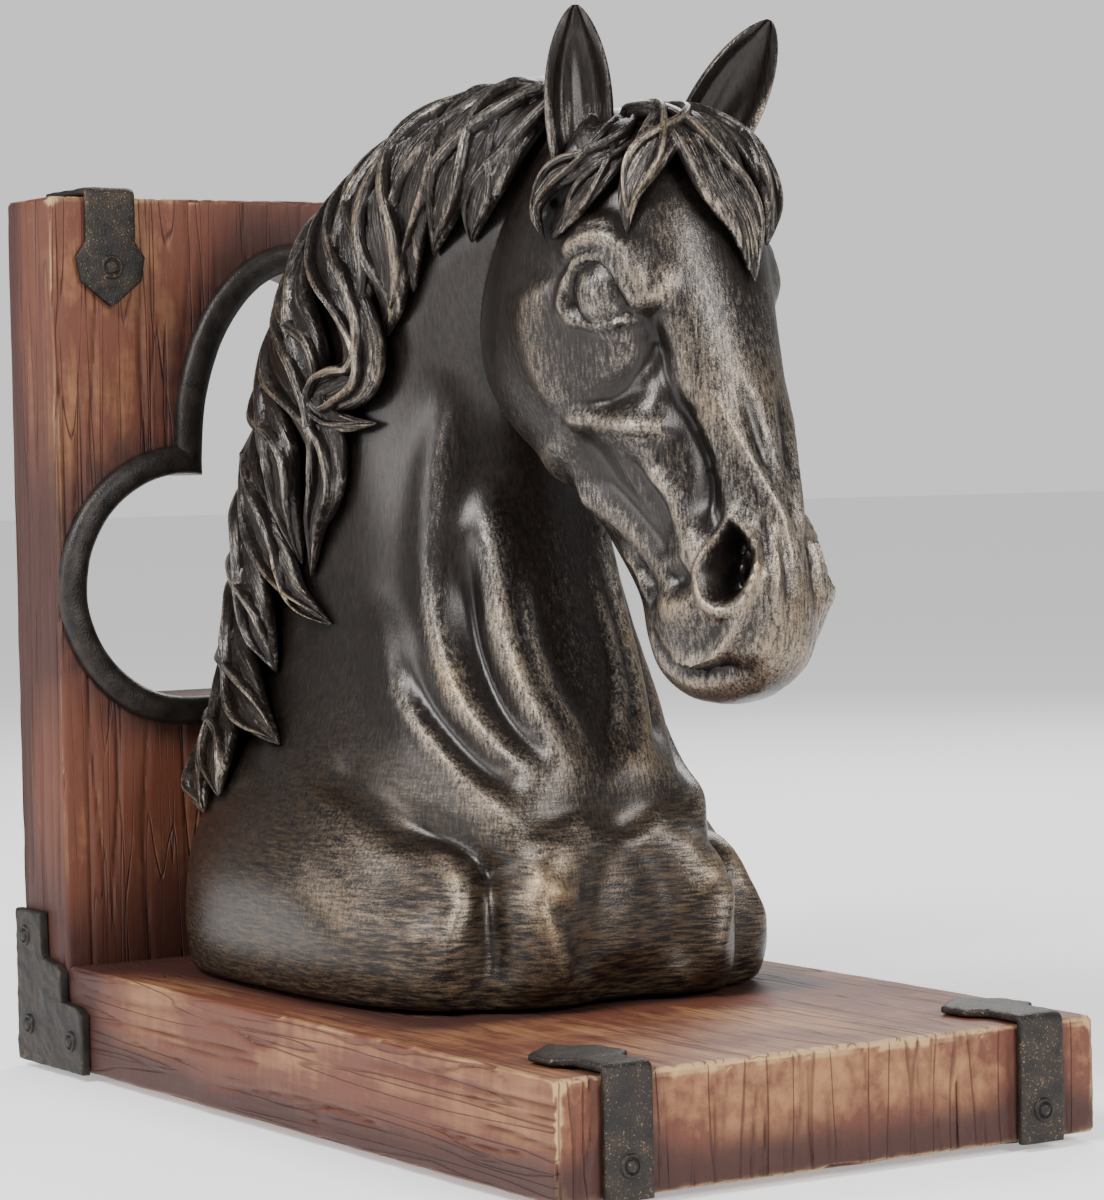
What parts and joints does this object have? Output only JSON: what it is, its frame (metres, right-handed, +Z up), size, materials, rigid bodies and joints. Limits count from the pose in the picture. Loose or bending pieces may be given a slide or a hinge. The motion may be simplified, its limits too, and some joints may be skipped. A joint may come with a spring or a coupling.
{
  "type": "horse head bookend",
  "caption": "Bookend: a horse's head and neck on an L of two wood-look boards, with a trefoil opening and dark strap fittings.",
  "frame": {"origin": "centre of the footprint in the plane the feet stand on", "axes": "+X the way the horse faces, from the upright board to the base board's front end; +Y to the horse's left; +Z up"},
  "size_m": [0.2168, 0.1236, 0.2131],
  "materials": {
    "wood_board": "red-brown stained board with carved grain and darkened edges",
    "bronze_cast": "cast resin with a dark bronze finish, rubbed lighter on the raised forms",
    "rim_bronze": "dark bronze paint, rubbed",
    "dark_iron": "aged dark iron",
    "foot_pad": "matt black pad"
  },
  "bodies": {
    "root": {"base_board": "wood_board", "upright_panel": "wood_board", "trefoil_rim": "rim_bronze", "horse_bust": "bronze_cast", "front_strap_right": "dark_iron", "front_strap_left": "dark_iron", "top_strap_right": "dark_iron", "top_strap_left": "dark_iron", "corner_bracket_right": "dark_iron", "corner_bracket_left": "dark_iron", "foot_back_right": "foot_pad", "foot_back_left": "foot_pad", "foot_front_right": "foot_pad", "foot_front_left": "foot_pad"}
  },
  "joints": []
}
